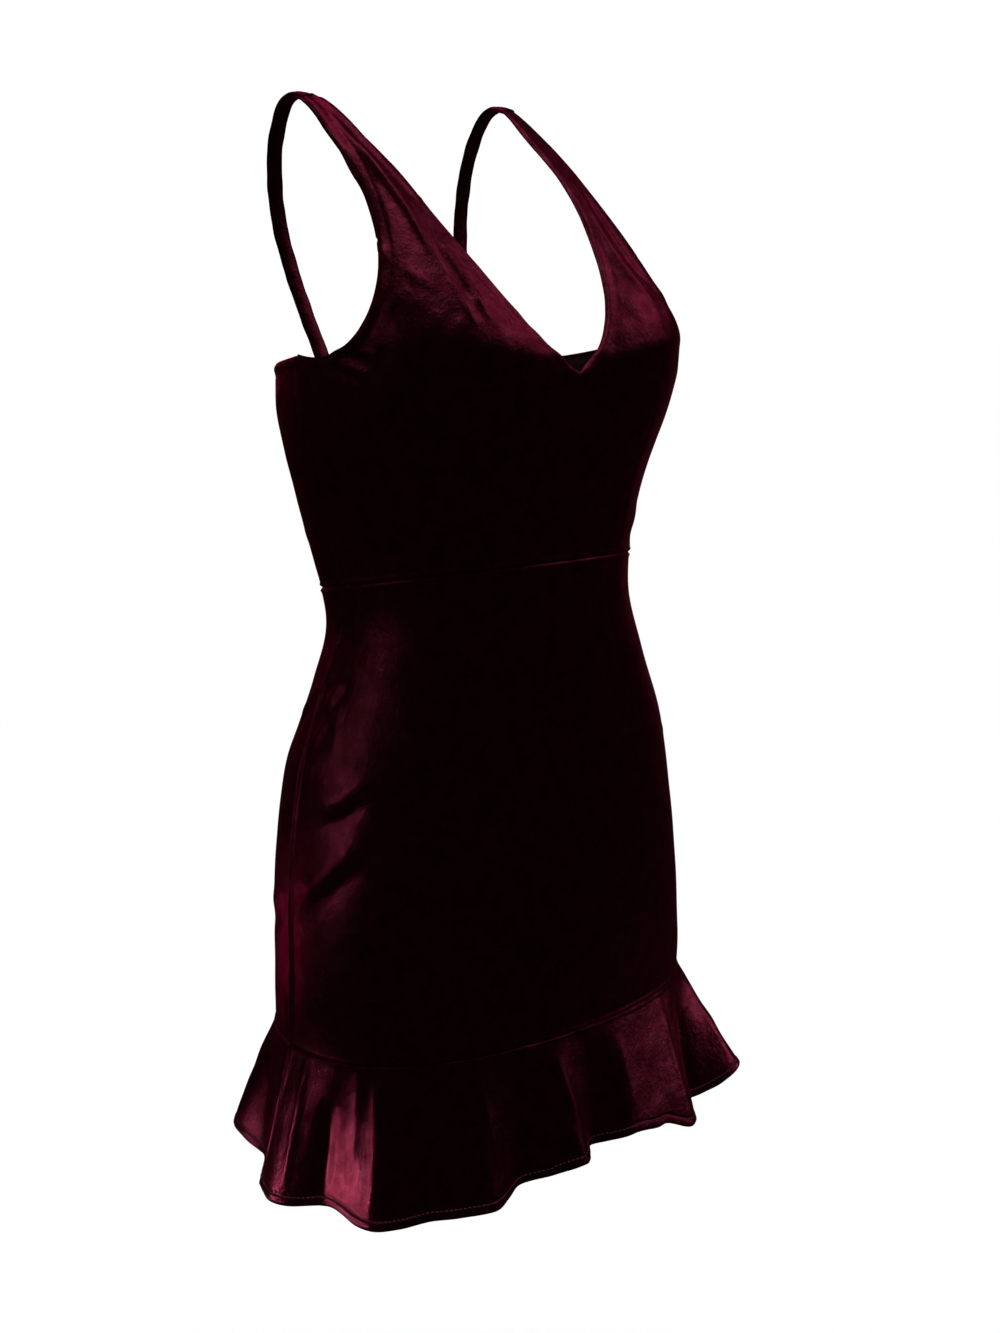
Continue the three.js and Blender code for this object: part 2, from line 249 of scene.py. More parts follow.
def quarter_turns():
    """Turns over two rounds, closer together at the ring's four ends."""
    steps = np.linspace(0, 1, QUARTER_POINTS)[:-1]
    quarter = (np.pi / 2) * ease(steps)
    starts = np.arange(-3, 5) * np.pi / 2
    return np.concatenate([start + quarter for start in starts])


ALL_TURNS = quarter_turns()


def even_turns(level, start, end, shares):
    """Turns from start to end whose points lie at even steps along the ring."""
    points = on_ring(np.full_like(ALL_TURNS, level), ALL_TURNS)
    steps = np.linalg.norm(np.diff(points, axis=0), axis=1)
    lengths = np.concatenate([[0], np.cumsum(steps)])
    low, high = np.interp([start, end], ALL_TURNS, lengths)
    return np.interp(mix(low, high, shares), lengths, ALL_TURNS)


def fine_shares(count, places, spread, closer):
    """Shares from 0 to 1 that lie closer together around the given places."""
    line = np.linspace(0, 1, 2001)
    density = np.ones_like(line)
    for place in places:
        density += (closer - 1) * bell(line, place, spread)
    total = np.concatenate([[0], np.cumsum((density[1:] + density[:-1]) / 2)])
    return np.interp(np.linspace(0, 1, count + 1), total / total[-1], line)


def grid_lengths(grid, axis):
    """How far each point of a grid lies from its first row or column, in mm."""
    steps = np.linalg.norm(np.diff(grid, axis=axis), axis=-1)
    zero = np.zeros_like(np.take(steps, [0], axis=axis))
    return np.cumsum(np.concatenate([zero, steps], axis=axis), axis=axis)


# Rows and columns whose angle has a sine below the first give no normal of their own.
SKEW = {"from": 0.15, "over": 0.3}


def grid_normals(grid):
    """Outward normals of a grid whose rows go down and whose columns go to the left."""
    down = np.gradient(grid, axis=0)
    along = np.gradient(grid, axis=1)
    across = np.cross(down, along)
    spread = np.linalg.norm(across, axis=-1)
    spread /= np.linalg.norm(down, axis=-1) * np.linalg.norm(along, axis=-1) + 1e-9
    normals = unit(across)
    # Where rows and columns run almost alongside each other, the row below says where out is.
    sure = ease((spread - SKEW["from"]) / SKEW["over"])
    for row in reversed(range(len(grid) - 1)):
        normals[row] = unit(mix(normals[row + 1], normals[row], sure[row][:, None]))
    return normals


# A crease is a soft ridge, or with a negative height a trough, along a short path.
Fold = namedtuple("Fold", "high wide path")


def ring_fold(high, wide, *path):
    """A crease whose path is given as turns in degrees and levels on the shell."""
    turns = np.radians([turn for turn, _ in path])
    levels = np.array([level for _, level in path], float)
    return Fold(high, wide, on_ring(levels, turns))


def body_fold(high, wide, *path):
    """A crease whose path is given as side, ahead and level."""
    points = [(side, -ahead, -level) for side, ahead, level in path]
    return Fold(high, wide, np.array(points, float))


# Points along a crease, how many half widths it reaches, and how fast its ends fade.
FOLD = {"points": 140, "reach": 3.2, "fade": 3.2, "tip": 0.04}


def fold_line(fold):
    """Evenly read points on the smooth path of a crease."""
    last = len(fold.path) - 1
    return smooth(np.arange(last + 1), fold.path, np.linspace(0, last, FOLD["points"]))


def press(grid, folds):
    """Moves a grid along its normals by its creases."""
    normals = grid_normals(grid)
    moved = np.zeros(grid.shape[:-1])
    for fold in folds:
        line = fold_line(fold)
        reach = FOLD["reach"] * fold.wide
        low, high = line.min(0) - reach, line.max(0) + reach
        near = np.all((grid > low) & (grid < high), axis=-1)
        if not near.any():
            continue
        gaps = np.linalg.norm(grid[near][:, None] - line[None], axis=-1)
        share = gaps.argmin(1) / (len(line) - 1)
        fade = ease(np.minimum(share, 1 - share) * FOLD["fade"] + FOLD["tip"])
        moved[near] += fold.high * fade * bell(gaps.min(1), 0, fold.wide)
    return grid + normals * moved[..., None]


# Profiles across the cloth's edges: swells and, with a negative height, grooves by their
# distance from the edge. A seam is drawn in at its stitches and has a narrow lip, a turned
# edge is folded under and stitched inside, and the hem has the groove of its stitches.
Swell = namedtuple("Swell", "high place wide")
SEAM_EDGE = [Swell(-0.9, 0, 0.9), Swell(0.7, 2.2, 1.1)]
TURNED_EDGE = [Swell(-1.1, 0, 1.3), Swell(0.5, 3.2, 2.4), Swell(-0.3, 8.5, 1.6)]
HEM_EDGE = [Swell(-0.75, 6.8, 0.8), Swell(-1.0, 0, 0.9)]
HEM_BAND = {"high": 0.55, "wide": 5.2, "slope": 1.6}


def profile(distance, swells):
    """Height of the cloth at a distance from an edge."""
    return sum(swell.high * bell(distance, swell.place, swell.wide) for swell in swells)


def hem_profile(distance):
    """The hem's edge on the raised band of the cloth turned up inside it."""
    band = 1 - ease((distance - HEM_BAND["wide"]) / HEM_BAND["slope"])
    return HEM_BAND["high"] * band + profile(distance, HEM_EDGE)


# The ripples beside a seam: three wave lengths over 2 pi, and how far out they fade.
PUCKER_WAVES = (3.1, 4.7, 8.3)
PUCKER_FADE = 7


def pucker(distance, along, size, seed):
    """Small uneven ripples that run out from a stitched seam."""
    waves = [np.sin(along / long + (k + 1) * seed) for k, long in enumerate(PUCKER_WAVES)]
    return size / len(waves) * sum(waves) * np.exp(-distance / PUCKER_FADE)


def lift(grid, height):
    """Moves a grid along its normals by a height for each point."""
    return grid + grid_normals(grid) * height[..., None]


def boundary(quads):
    """Directed edges that belong to one face only."""
    edges = np.concatenate([quads[:, [k, (k + 1) % 4]] for k in range(4)])
    count = quads.max() + 1
    code = edges[:, 0] * count + edges[:, 1]
    back = edges[:, 1] * count + edges[:, 0]
    return edges[~np.isin(code, back)]


def point_normals(points, quads):
    a, b, c, d = (points[quads[:, k]] for k in range(4))
    faces = np.cross(c - a, d - b)
    sums = np.zeros_like(points)
    for k in range(4):
        np.add.at(sums, quads[:, k], faces)
    return unit(sums)


# Steps round the half circle of the cloth's edge.
RIM_STEPS = 4


def shell(points, quads, thick, normals=None):
    """Closed cloth: an outer face, an inner face and a rounded edge all round."""
    if normals is None:
        normals = point_normals(points, quads)
    count = len(points)
    edges = boundary(quads)
    rim = np.unique(edges)
    place = np.full(count, -1)
    place[rim] = np.arange(len(rim))
    outward = np.zeros_like(points)
    for start, end in ((0, 1), (1, 0)):
        run = points[edges[:, 1]] - points[edges[:, 0]]
        sideways = np.cross(run, normals[edges[:, start]])
        np.add.at(outward, edges[:, start], unit(sideways))
    outward -= normals * np.sum(outward * normals, axis=1, keepdims=True)
    outward = unit(outward)
    middle = points - normals * thick / 2
    rings = [np.arange(count)]
    extra = [points, points - normals * thick]
    for k in range(1, RIM_STEPS):
        angle = math.pi * k / RIM_STEPS
        ring = middle + (normals * math.cos(angle) + outward * math.sin(angle)) * thick / 2
        extra.append(ring[rim])
        rings.append(2 * count + (k - 1) * len(rim) + place)
    rings.append(np.arange(count) + count)
    faces = [quads, quads[:, ::-1] + count]
    for upper, lower in zip(rings, rings[1:]):
        a, b = edges[:, 0], edges[:, 1]
        faces.append(np.stack([upper[b], upper[a], lower[a], lower[b]], axis=1))
    inner = np.zeros(sum(len(f) for f in faces), int)
    inner[len(quads):2 * len(quads)] = 1
    return np.concatenate(extra), np.concatenate(faces), inner


def grid_quads(rows, columns, closed=False):
    """Faces of a grid of points; closed joins the last column to the first."""
    across = columns if closed else columns - 1
    i, j = np.meshgrid(np.arange(rows - 1), np.arange(across), indexing="ij")
    here = (i * columns + j).ravel()
    right = (i * columns + (j + 1) % columns).ravel()
    return np.stack([here, here + columns, right + columns, right], axis=1)


def make_mesh(name, points, faces, slots=None):
    mesh = bpy.data.meshes.new(name)
    mesh.from_pydata((points * MM).tolist(), [], faces.tolist())
    mesh.polygons.foreach_set("use_smooth", [True] * len(mesh.polygons))
    if slots is not None:
        mesh.polygons.foreach_set("material_index", slots.tolist())
    mesh.update()
    piece = bpy.data.objects.new(name, mesh)
    bpy.context.scene.collection.objects.link(piece)
    return piece


def cloth_piece(name, points, quads, thick=CLOTH, normals=None):
    piece = make_mesh(name, *shell(points, quads, thick, normals))
    piece.data.materials.append(VELVET)
    piece.data.materials.append(VELVET_BACK)
    return piece


def declare(piece, node):
    """Hangs a piece of cloth on the root and hides the solid part that it stands for."""
    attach(piece, "root")
    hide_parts(node)


def set_inputs(node, values):
    for name, value in values.items():
        node.inputs[name].default_value = value


def noise_node(nodes, links, coordinates, scale, detail, rough=0.6):
    noise = nodes.new("ShaderNodeTexNoise")
    set_inputs(noise, {"Scale": scale, "Detail": detail, "Roughness": rough})
    links.new(coordinates.outputs["Object"], noise.inputs["Vector"])
    return noise


def ramp_node(nodes, links, source, stops):
    ramp = nodes.new("ShaderNodeValToRGB")
    elements = ramp.color_ramp.elements
    while len(elements) < len(stops):
        elements.new(0.5)
    for element, (position, colour) in zip(elements, stops):
        element.position = position
        element.color = (*colour, 1)
    links.new(source, ramp.inputs["Fac"])
    return ramp


def bump_chain(nodes, links, shader, layers):
    """Lays several bumps over each other: each a height, a strength and a distance."""
    below = None
    for height, strength, distance in layers:
        bump = nodes.new("ShaderNodeBump")
        set_inputs(bump, {"Strength": strength, "Distance": distance})
        links.new(height, bump.inputs["Height"])
        if below:
            links.new(below.outputs["Normal"], bump.inputs["Normal"])
        below = bump
    links.new(below.outputs["Normal"], shader.inputs["Normal"])


Surface = namedtuple("Surface", "material nodes links shader coordinates tone")


def toned_surface(name, scale, detail, stops, rough=0.6):
    """A material whose colour drifts between its stops with a noise of the given scale."""
    material = bpy.data.materials.new(name)
    material.use_nodes = True
    nodes, links = material.node_tree.nodes, material.node_tree.links
    shader = nodes["Principled BSDF"]
    coordinates = nodes.new("ShaderNodeTexCoord")
    tone = noise_node(nodes, links, coordinates, scale, detail, rough)
    colour = ramp_node(nodes, links, tone.outputs["Fac"], stops)
    links.new(colour.outputs["Color"], shader.inputs["Base Color"])
    return Surface(material, nodes, links, shader, coordinates, tone)


def velvet_material():
    """Deep wine pile: nearly black, and wine red only where it mirrors a lamp."""
    velvet = toned_surface("velvet", scale=85, detail=5, rough=0.62, stops=[
        (0.30, (0.30, 0.026, 0.060)),
        (0.50, (0.42, 0.045, 0.095)),
        (0.72, (0.55, 0.075, 0.150)),
    ])
    nodes, links, shader = velvet.nodes, velvet.links, velvet.shader
    mottle = noise_node(nodes, links, velvet.coordinates, scale=240, detail=4, rough=0.7)
    pile = noise_node(nodes, links, velvet.coordinates, scale=1300, detail=2)
    rough = nodes.new("ShaderNodeMapRange")
    set_inputs(rough, {"To Min": 0.27, "To Max": 0.37})
    links.new(mottle.outputs["Fac"], rough.inputs["Value"])
    links.new(rough.outputs["Result"], shader.inputs["Roughness"])
    set_inputs(shader, {
        "Metallic": 1.0,
        "Specular Tint": (1.0, 0.3, 0.42, 1),
        "Sheen Weight": 0.03,
        "Sheen Roughness": 0.3,
        "Sheen Tint": (0.8, 0.16, 0.34, 1),
    })
    bump_chain(nodes, links, shader, [
        (velvet.tone.outputs["Fac"], 0.40, 0.0014),
        (mottle.outputs["Fac"], 0.60, 0.0009),
        (pile.outputs["Fac"], 0.50, 0.00028),
    ])
    return velvet.material


def backing_material():
    """The knitted inner face: matt, plain and darker."""
    backing = toned_surface("velvet_back", scale=60, detail=3, stops=[
        (0.35, (0.012, 0.002, 0.004)),
        (0.65, (0.020, 0.003, 0.007)),
    ])
    knit = backing.nodes.new("ShaderNodeTexWave")
    set_inputs(knit, {"Scale": 420, "Distortion": 1.5, "Detail": 2})
    backing.links.new(backing.coordinates.outputs["Object"], knit.inputs["Vector"])
    set_inputs(backing.shader, {"Roughness": 0.85, "Specular IOR Level": 0.1})
    bump_chain(backing.nodes, backing.links, backing.shader, [(knit.outputs["Fac"], 0.4, 0.0003)])
    return backing.material


def thread_material():
    """Sewing thread a little lighter than the pile."""
    thread = toned_surface("thread", scale=1500, detail=2, stops=[
        (0.35, (0.07, 0.010, 0.025)),
        (0.65, (0.15, 0.025, 0.055)),
    ])
    set_inputs(thread.shader, {"Roughness": 0.5})
    return thread.material


VELVET = velvet_material()
VELVET_BACK = backing_material()
THREAD = thread_material()


def mirror_x(points):
    return points * np.array([-1, 1, 1])


def row_frame(start, end):
    """A row's level direction, the direction out of the body, and its length."""
    along = end - start
    length = np.linalg.norm(along)
    along = along * np.array([1, 1, 0])
    along /= np.linalg.norm(along)
    out = np.array([along[1], -along[0], 0]) * np.sign(end[0])
    return along, out, length


def row_between(base, start, end, full):
    """A row that swells like the base row, laid between two other ends."""
    shares = np.linspace(0, 1, len(base))[:, None]
    along, out, length = row_frame(base[0], base[-1])
    moved = base - mix(base[0], base[-1], shares)
    offsets = np.stack([moved @ along, moved @ out, moved[:, 2]], axis=1) / length
    along, out, length = row_frame(start, end)
    scaled = offsets * length * full
    row = mix(start, end, shares) + scaled[:, :1] * along + scaled[:, 1:2] * out
    row[:, 2] = mix(start[2], end[2], shares[:, 0]) + scaled[:, 2]
    return row


def front_half_frame():
    """The left half of the front as the solids have it, from the waist to the shoulder."""
    across = np.linspace(0, 1, YOKE_STEPS["across"] + 1)
    rows = []
    for up in np.linspace(0, 1, YOKE_STEPS["down"] + 1):
        level = mix(WAIST_LEVEL, mix(NECK_LEVEL, UNDERARM_LEVEL, across), up)
        rows.append(on_ring(level, across * seam_turn(level)))
    base = rows[-1]
    table = np.array(YOKE, float)
    for up in np.linspace(0, len(YOKE) - 1, YOKE_STEPS["up"] + 1)[1:]:
        row = Yoke(*smooth(np.arange(len(YOKE)), table, up))
        neck = np.array([row.neck_side, -row.neck_ahead, -row.neck_level])
        arm = np.array([row.arm_side, -row.arm_ahead, -row.arm_level])
        rows.append(row_between(base, neck, arm, row.full))
    grid = np.array(rows)
    for _ in range(SOFTEN_PASSES):
        middle = (grid[:-2, 1:-1] + grid[2:, 1:-1] + grid[1:-1, :-2] + grid[1:-1, 2:]) / 4
        grid[1:-1, 1:-1] = (grid[1:-1, 1:-1] + middle) / 2
    return grid


def refine_columns(grid, shares):
    """Reads a coarse half front at any shares across, level at the centre front."""
    ghost = 2 * grid[:, :1] - grid[:, 1:2]
    below = YOKE_STEPS["down"]
    ghost[:below] = mirror_x(grid[:below, 1:2])
    wide = np.concatenate([ghost, grid], axis=1)
    places = np.arange(-1, grid.shape[1])
    at = shares * (grid.shape[1] - 1)
    return np.swapaxes(smooth(places, np.swapaxes(wide, 0, 1), at), 0, 1)


def refine_rows(grid, lower, upper):
    """Reads a half front at finer rows; the neckline keeps its corner at the V point."""
    below = YOKE_STEPS["down"]
    whole = smooth(np.arange(len(grid)), grid, np.concatenate([lower, upper[1:]]))
    first = smooth(np.arange(below + 1), grid[:below + 1], lower)
    second = smooth(np.arange(below, len(grid)), grid[below:], upper)
    parts = np.concatenate([first, second[1:]])
    columns = np.linspace(0, 1, grid.shape[1])[None, :, None]
    keep = bell(columns, 0, CORNER_WIDE)
    return mix(whole, parts, keep)


# Each dart runs up from the waist seam to just below the bust, by turn and level. The
# share is its place across half the front, and its lip lies a little nearer the middle.
DART_SHARE = 0.357
DART_LINE = [(31.9, 342), (31.5, 310), (31.0, 275), (30.5, 246)]
DART_LIP_TURN = 1.6
UPPER_ROWS = 112


def front_half():
    """The fine left half, from the shoulder down to the waist, and its last yoke row."""
    coarse = front_half_frame()
    below = YOKE_STEPS["down"]
    columns = fine_shares(88, [0, DART_SHARE, 1], spread=0.025, closer=3)
    lower = below * fine_shares(64, [0], spread=0.05, closer=3)
    upper = mix(below, len(coarse) - 1, np.linspace(0, 1, UPPER_ROWS))
    fine = refine_rows(refine_columns(coarse, columns), lower, upper)
    return fine[::-1], UPPER_ROWS - 1


def dart_folds(hand):
    """The stitched groove of a dart and the soft lip beside it."""
    line = [(hand * turn, level) for turn, level in DART_LINE]
    lip = [(hand * (turn - DART_LIP_TURN), level) for turn, level in DART_LINE]
    return [ring_fold(-1.3, 1.7, *line), ring_fold(0.5, 3.0, *lip)]


# Creases of the right side of the front, each with its height and half width.
RIGHT_FOLDS = [
    body_fold(
        2.8, 3.8, (-92, 20, 8), (-88, 65, 40), (-88, 93, 61),
        (-87, 118, 83), (-88, 144, 108), (-86, 166, 130),
    ),
    body_fold(1.4, 3.0, (-87, 158, 122), (-85, 176, 143), (-84, 192, 163)),
    body_fold(-2.4, 6.0, (-84, 30, 16), (-83, 56, 34), (-79, 80, 50), (-76, 102, 68), (-73, 126, 90)),
    body_fold(1.8, 3.2, (-76, 138, 101), (-76, 156, 119), (-74, 176, 140), (-70, 194, 162)),
    body_fold(-1.5, 4.0, (-82, 146, 109), (-80, 164, 128), (-79, 182, 149)),
    body_fold(-4.5, 10.0, (-103, 58, 41), (-106, 80, 60), (-112, 106, 88), (-119, 126, 112)),
    body_fold(1.2, 3.2, (-103, 150, 124), (-97, 168, 142)),
    body_fold(1.1, 3.0, (-94, 180, 155), (-86, 193, 171)),
    body_fold(1.2, 2.4, (-114, 125, 109), (-114, 136, 120)),
    body_fold(0.8, 3.0, (-108, 145, 121), (-105, 161, 136)),
    ring_fold(2.0, 3.2, (-80.5, 192), (-73, 198), (-64.5, 209)),
    ring_fold(-1.3, 3.4, (-80, 198), (-72, 205), (-65, 215)),
    ring_fold(1.7, 2.8, (-72.5, 189), (-66, 191), (-60.5, 195)),
    ring_fold(0.8, 5.0, (-33.5, 318), (-28.5, 310), (-24, 301)),
    ring_fold(-0.7, 5.0, (-36, 311), (-30, 303), (-26, 293)),
    ring_fold(0.7, 7.0, (-70, 300), (-55, 316), (-38, 326)),
    ring_fold(-0.7, 8.0, (-72, 318), (-56, 331), (-40, 336)),
]

# The left side's creases: the strap's long ridge and groove, and smaller ones.
LEFT_FOLDS = [
    body_fold(2.2, 5.0, (84, 82, 52), (74, 126, 89), (74, 159, 121), (87, 185, 154)),
    body_fold(-2.4, 4.5, (90, 87, 58), (88, 118, 84), (88, 153, 118), (106, 173, 150)),
    body_fold(1.2, 3.5, (92, 40, 20), (96, 70, 44), (98, 100, 66)),
    ring_fold(1.3, 3.4, (79, 191), (71, 198), (61, 207)),
    ring_fold(-0.8, 3.4, (79, 198), (70, 206), (62, 214)),
    ring_fold(1.0, 3.2, (69, 188), (60, 194)),
    ring_fold(0.9, 6.0, (66, 306), (52, 318), (38, 330)),
    ring_fold(-0.7, 7.0, (70, 322), (54, 332), (40, 338)),
]


CHUNK_POINTS = 16


def gap_to_line(points, line):
    """Distance of each point of a grid to the nearest of a line of points."""
    gap = np.full(points.shape[:-1], np.inf)
    for chunk in np.array_split(line, max(1, len(line) // CHUNK_POINTS)):
        step = np.linalg.norm(points[..., None, :] - chunk, axis=-1).min(-1)
        gap = np.minimum(gap, step)
    return gap


CRUSH_WAVES = 14


def crush(points, size, scale, seed):
    """Gentle uneven swelling that a stretch pile takes; scale is its wave length."""
    draws = np.random.default_rng(seed)
    total = np.zeros(points.shape[:-1])
    for _ in range(CRUSH_WAVES):
        direction = draws.normal(size=3)
        direction *= draws.uniform(0.7, 1.5) / scale / np.linalg.norm(direction)
        total += np.sin(points @ direction * 2 * np.pi + draws.uniform(0, 6.28))
    return total * size / math.sqrt(CRUSH_WAVES)


# The height of the bust's fullest part and how far its uneven swelling spreads.
BUST = {"z": -165, "wide": 45}


def front_side(grid, hand, yoke_end):
    """One half of the front with its creases, turned edges, seams and dart."""
    neck = grid[:yoke_end + 1, 0 if hand == LEFT else -1]
    side = grid[:, -1 if hand == LEFT else 0]
    armhole = side[:yoke_end + 1]
    height = profile(gap_to_line(grid, neck), TURNED_EDGE)
    height += profile(gap_to_line(grid, armhole), TURNED_EDGE)
    waist = grid_lengths(grid[::-1], 0)[::-1]
    along = grid_lengths(grid, 1)
    height += profile(waist, SEAM_EDGE) + pucker(waist, along, size=0.35, seed=1.0 + hand)
    below = np.linspace(0, 1, len(grid))[:, None] > (yoke_end + 1) / len(grid)
    seam = profile(gap_to_line(grid, side[yoke_end:]), SEAM_EDGE)
    height += np.where(below, seam, 0)
    height += crush(grid, size=0.30, scale=22, seed=5) * bell(grid[..., 2], BUST["z"], BUST["wide"])
    folds = RIGHT_FOLDS if hand == RIGHT else LEFT_FOLDS
    return lift(press(grid, folds + dart_folds(hand)), height)


def join_sides(right, left, yoke_end):
    """Points, faces and normals of the whole front, joined below the V point."""
    rows, columns = right.shape[:2]
    centre = (right[:, -1] + left[:, 0]) / 2
    centre[:, 0] = 0
    right[yoke_end:, -1] = centre[yoke_end:]
    left[yoke_end:, 0] = centre[yoke_end:]
    points = np.concatenate([right.reshape(-1, 3), left.reshape(-1, 3)])
    normals = np.concatenate([grid_normals(side).reshape(-1, 3) for side in (right, left)])
    same = np.arange(len(points))
    for row in range(yoke_end, rows):
        same[(rows + row) * columns] = row * columns + columns - 1
    quads = grid_quads(rows, columns)
    both = np.concatenate([quads, quads + rows * columns])
    used, numbers = np.unique(same[both], return_inverse=True)
    return points[used], numbers.reshape(-1, 4), normals[used]


def front_bodice():
    half, yoke_end = front_half()
    right = front_side(mirror_x(half)[:, ::-1], RIGHT, yoke_end)
    left = front_side(half, LEFT, yoke_end)
    points, quads, normals = join_sides(right, left, yoke_end)
    piece = cloth_piece("velvet_front_bodice", points, quads, normals=normals)
    declare(piece, "front_bodice")


def ring_grid(top, bottom, rows, columns, back):
    """A grid of the fitted shell between two levels, side seam to side seam."""
    grid = []
    for level in mix(top, bottom, rows):
        half = float(seam_turn(level))
        start, end = (half, 2 * np.pi - half) if back else (-half, half)
        turns = even_turns(level, start, end, columns)
        grid.append(on_ring(np.full_like(turns, level), turns))
    return np.array(grid)


def grid_piece(node, grid):
    """The cloth that stands for a node, made from one grid of points."""
    quads = grid_quads(*grid.shape[:2])
    piece = cloth_piece("velvet_" + node, grid.reshape(-1, 3), quads)
    declare(piece, node)


def edge_distances(grid):
    """Distances from the top, the bottom, the nearer side and the first side of a grid."""
    down = grid_lengths(grid, 0)
    up = down[-1:] - down
    along = grid_lengths(grid, 1)
    side = np.minimum(along, along[:, -1:] - along)
    return down, up, side, along


# Creases of the back bodice by turn and level: drag lines under the straps' ends.
BACK_FOLDS = [
    ring_fold(1.1, 5.0, (152, 190), (146, 212), (138, 236)),
    ring_fold(-0.9, 5.0, (158, 192), (152, 216), (145, 240)),
    ring_fold(1.0, 5.0, (-150, 190), (-143, 214), (-134, 240)),
    ring_fold(-0.8, 5.5, (-157, 192), (-150, 218), (-142, 244)),
    ring_fold(0.9, 6.0, (118, 300), (138, 314), (160, 322)),
    ring_fold(-0.8, 7.0, (116, 314), (138, 328), (162, 334)),
    ring_fold(0.9, 6.5, (-112, 296), (-130, 312), (-156, 320)),
    ring_fold(-0.8, 7.0, (-110, 310), (-132, 326), (-158, 333)),
    ring_fold(0.8, 4.0, (-98, 196), (-104, 206), (-112, 220)),
    ring_fold(0.8, 4.0, (98, 198), (105, 210), (113, 222)),
]


def back_bodice():
    rows = fine_shares(96, [0, 1], spread=0.05, closer=3)
    columns = fine_shares(180, [0, 1], spread=0.015, closer=3)
    grid = ring_grid(UNDERARM_LEVEL, WAIST_LEVEL - SEAM_SHIFT, rows, columns, back=True)
    down, up, side, along = edge_distances(grid)
    height = profile(down, TURNED_EDGE) + profile(up, SEAM_EDGE) + profile(side, SEAM_EDGE)
    height += pucker(up, along, size=0.35, seed=2.0)
    height += crush(grid, size=0.22, scale=40, seed=8)
    grid_piece("back_bodice", lift(press(grid, BACK_FOLDS), height))


# Creases of the skirt's front: drag lines from the hip to the waist and the seam.
SKIRT_FRONT_FOLDS = [
    ring_fold(1.6, 5.0, (-91, 401), (-93, 407), (-95.5, 414)),
    ring_fold(1.8, 5.0, (-85, 413), (-88, 420), (-91, 428)),
    ring_fold(-1.4, 4.5, (-81, 411), (-84, 419), (-88, 430)),
    ring_fold(1.5, 4.0, (-87, 436), (-90, 447), (-92, 461)),
    ring_fold(1.1, 4.0, (-88, 462), (-89.5, 472), (-89.5, 484)),
    ring_fold(1.0, 5.0, (-83, 423), (-82, 444), (-79, 465)),
    ring_fold(0.8, 5.0, (-73.5, 451), (-68.5, 474)),
    ring_fold(2.0, 8.0, (-60, 474), (-71, 488), (-86, 502)),
    ring_fold(-1.8, 6.5, (-60, 488), (-71, 503), (-86, 517)),
    ring_fold(2.6, 8.5, (-57, 512), (-69, 532), (-80, 550), (-90, 564)),
    ring_fold(-2.0, 7.0, (-59, 528), (-71, 550), (-82, 567), (-90, 580)),
    ring_fold(0.9, 9.0, (-60, 420), (-48, 452), (-42, 490)),
    ring_fold(1.3, 5.0, (90, 400), (86, 414), (80, 430)),
    ring_fold(1.2, 5.5, (92, 424), (84, 446), (76, 466)),
    ring_fold(-1.1, 5.5, (88, 420), (80, 440), (72, 458)),
    ring_fold(1.5, 6.0, (60, 476), (72, 494), (88, 510)),
    ring_fold(-1.3, 6.5, (60, 488), (72, 507), (88, 524)),
    ring_fold(0.7, 6.0, (20, 352), (28, 362), (40, 368)),
    ring_fold(0.7, 6.0, (-22, 352), (-32, 361), (-46, 367)),
    ring_fold(0.9, 8.0, (-30, 660), (-44, 650), (-62, 646)),
    ring_fold(0.9, 8.0, (26, 662), (42, 650), (60, 644)),
]
SKIRT_BACK_FOLDS = [
    ring_fold(1.6, 5.5, (-99, 637), (-97, 654), (-95, 671)),
    ring_fold(-1.0, 6.0, (-105, 634), (-103, 652), (-101, 670)),
    ring_fold(0.8, 7.0, (-97, 560), (-108, 576), (-124, 584)),
    ring_fold(-0.7, 8.0, (-98, 574), (-109, 592), (-126, 600)),
    ring_fold(1.4, 6.0, (-98, 408), (-106, 428), (-118, 440)),
    ring_fold(-1.2, 6.0, (-100, 422), (-109, 444), (-122, 455)),
    ring_fold(1.5, 6.5, (-178, 372), (-164, 384), (-144, 388), (-126, 380)),
    ring_fold(-1.3, 7.0, (-178, 386), (-162, 399), (-142, 402), (-124, 394)),
    ring_fold(1.4, 6.5, (178, 368), (162, 378), (142, 384), (124, 374)),
    ring_fold(-1.2, 7.0, (178, 382), (160, 393), (140, 398), (122, 390)),
    ring_fold(1.4, 6.0, (98, 410), (108, 430), (120, 442)),
    ring_fold(-1.1, 6.0, (100, 424), (111, 446), (124, 457)),
    ring_fold(1.5, 6.5, (97, 548), (110, 566), (128, 574)),
    ring_fold(-1.2, 7.0, (98, 562), (112, 582), (130, 590)),
    ring_fold(1.2, 6.0, (100, 640), (98, 656), (96, 672)),
    ring_fold(1.0, 8.0, (-150, 640), (-140, 655), (-128, 664)),
    ring_fold(1.0, 8.0, (148, 636), (138, 652), (127, 662)),
]


def skirt(node, back, folds, seed):
    rows = fine_shares(150, [0, 1], spread=0.022, closer=3)
    columns = fine_shares(230, [0, 1], spread=0.012, closer=3)
    top, bottom = WAIST_LEVEL + SEAM_SHIFT, FLOUNCE_LEVEL + SEAM_SHIFT
    grid = ring_grid(top, bottom, rows, columns, back)
    down, up, side, along = edge_distances(grid)
    height = sum(profile(distance, SEAM_EDGE) for distance in (down, up, side))
    height += pucker(down, along, size=0.35, seed=seed)
    height += pucker(up, along, size=0.4, seed=seed + 1)
    height += crush(grid, size=0.25, scale=48, seed=seed)
    grid_piece(node, lift(press(grid, folds), height))


